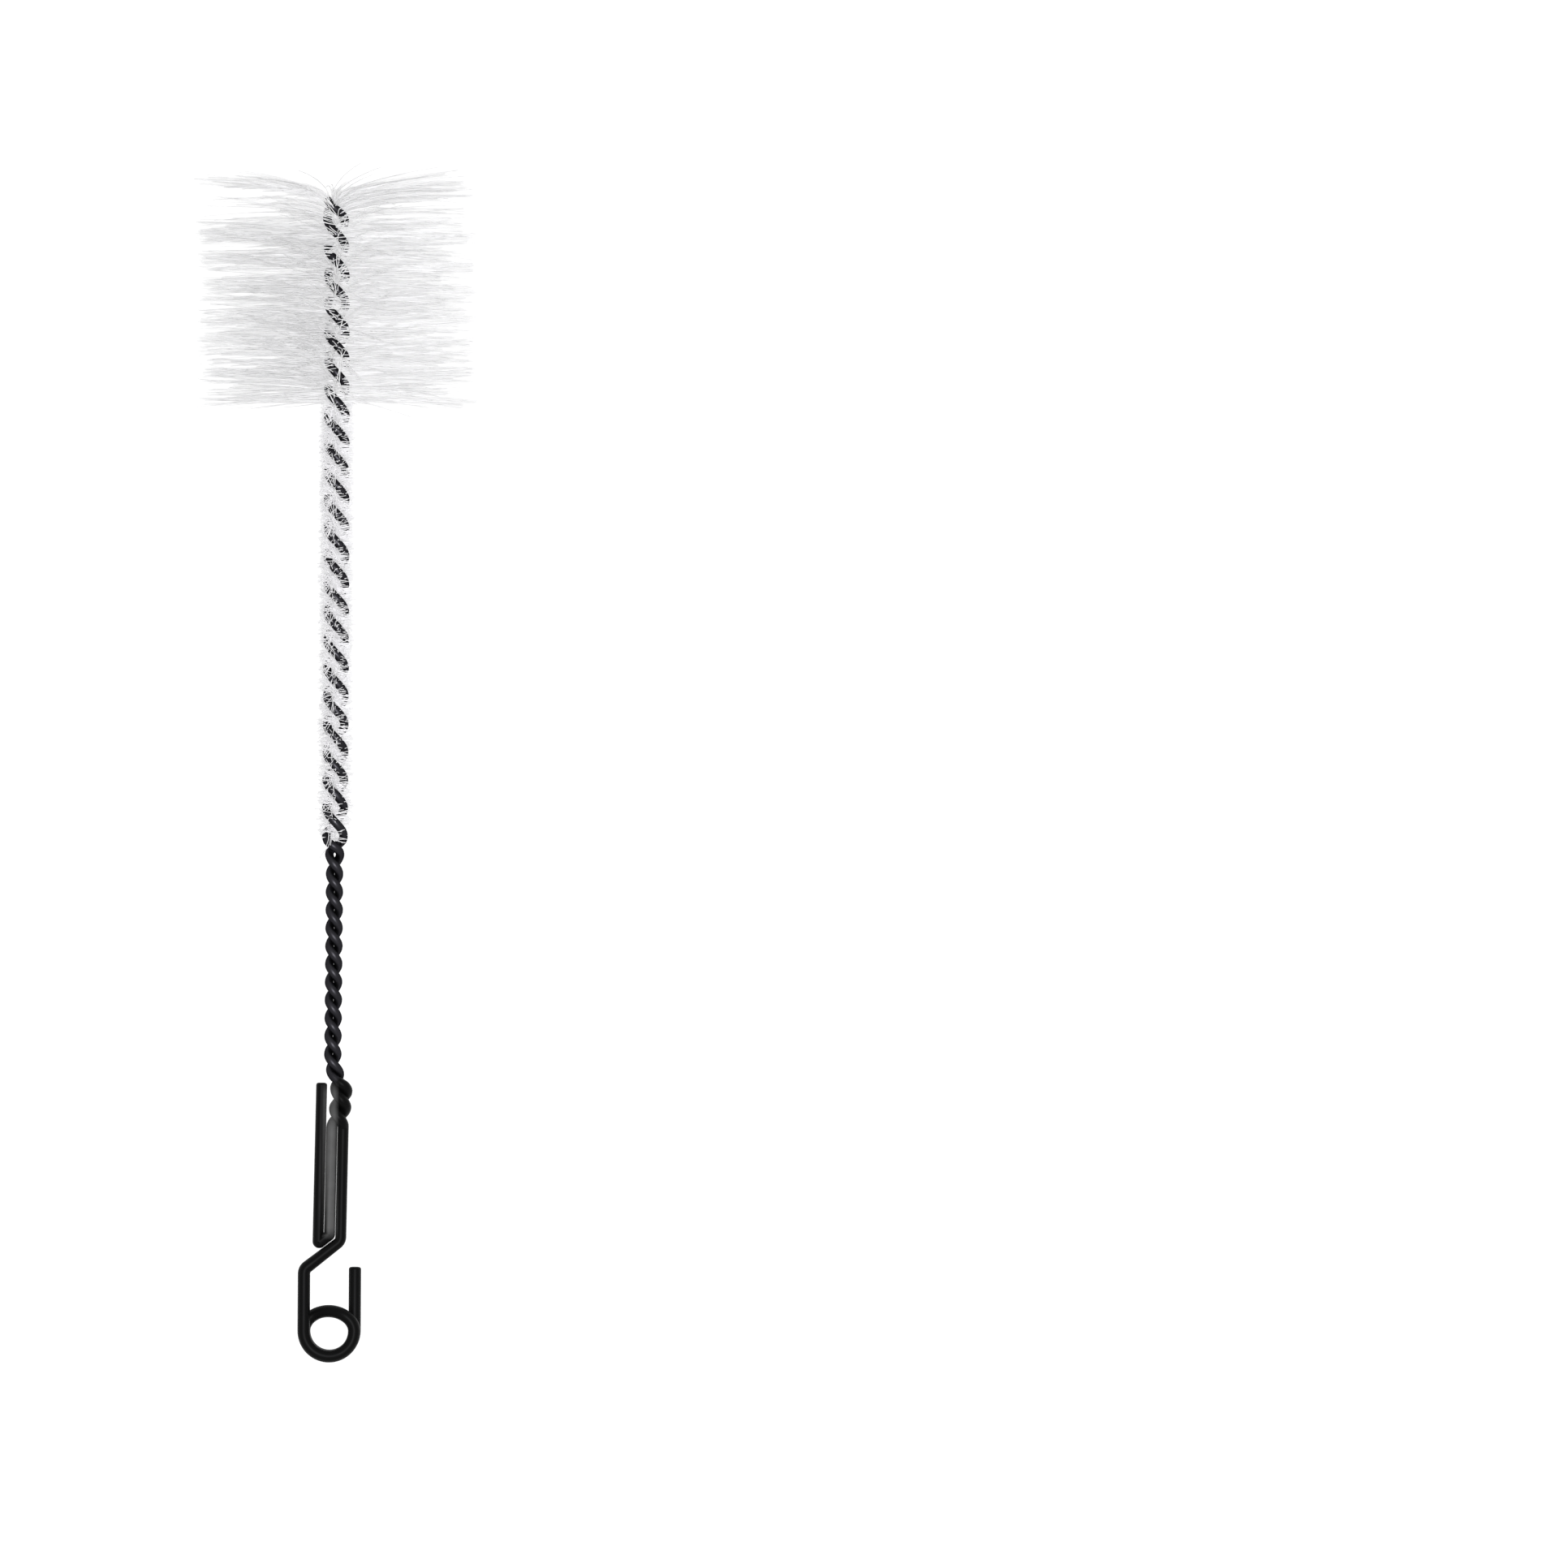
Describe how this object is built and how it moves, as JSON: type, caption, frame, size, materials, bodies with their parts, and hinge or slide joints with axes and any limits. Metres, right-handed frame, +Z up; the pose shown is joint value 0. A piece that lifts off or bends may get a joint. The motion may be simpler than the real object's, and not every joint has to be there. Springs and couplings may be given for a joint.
{
  "type": "bottle brush",
  "caption": "Bottle brush: folded and twisted wire with a round bristle head, a trimmed upper stem, a straight grip and a ring with an open hook to hang it by.",
  "frame": {"origin": "on the floor below the middle of the bounding box, with the brush lying down", "axes": "+Y points from the ring to the tip of the head and is the longest extent, the stem rising 7.2 degrees towards it; +X is across the flat ring, with the hook's free end on the +X side; +Z is up"},
  "size_m": [0.072, 0.2974, 0.0763],
  "materials": {
    "wire": "dark drawn steel wire with a soft sheen; the end that makes the handle is dipped black",
    "short_bristles": "pale filament ends, cut short and slightly uneven",
    "long_bristles": "fine pale translucent filament, loose at the tips"
  },
  "bodies": {
    "root": {"wire": "wire", "trimmed_bristles": "short_bristles", "bristle_row_1": "long_bristles", "bristle_row_2": "long_bristles", "bristle_row_3": "long_bristles", "bristle_row_4": "long_bristles", "bristle_row_5": "long_bristles", "bristle_row_6": "long_bristles", "bristle_row_7": "long_bristles"}
  },
  "joints": []
}
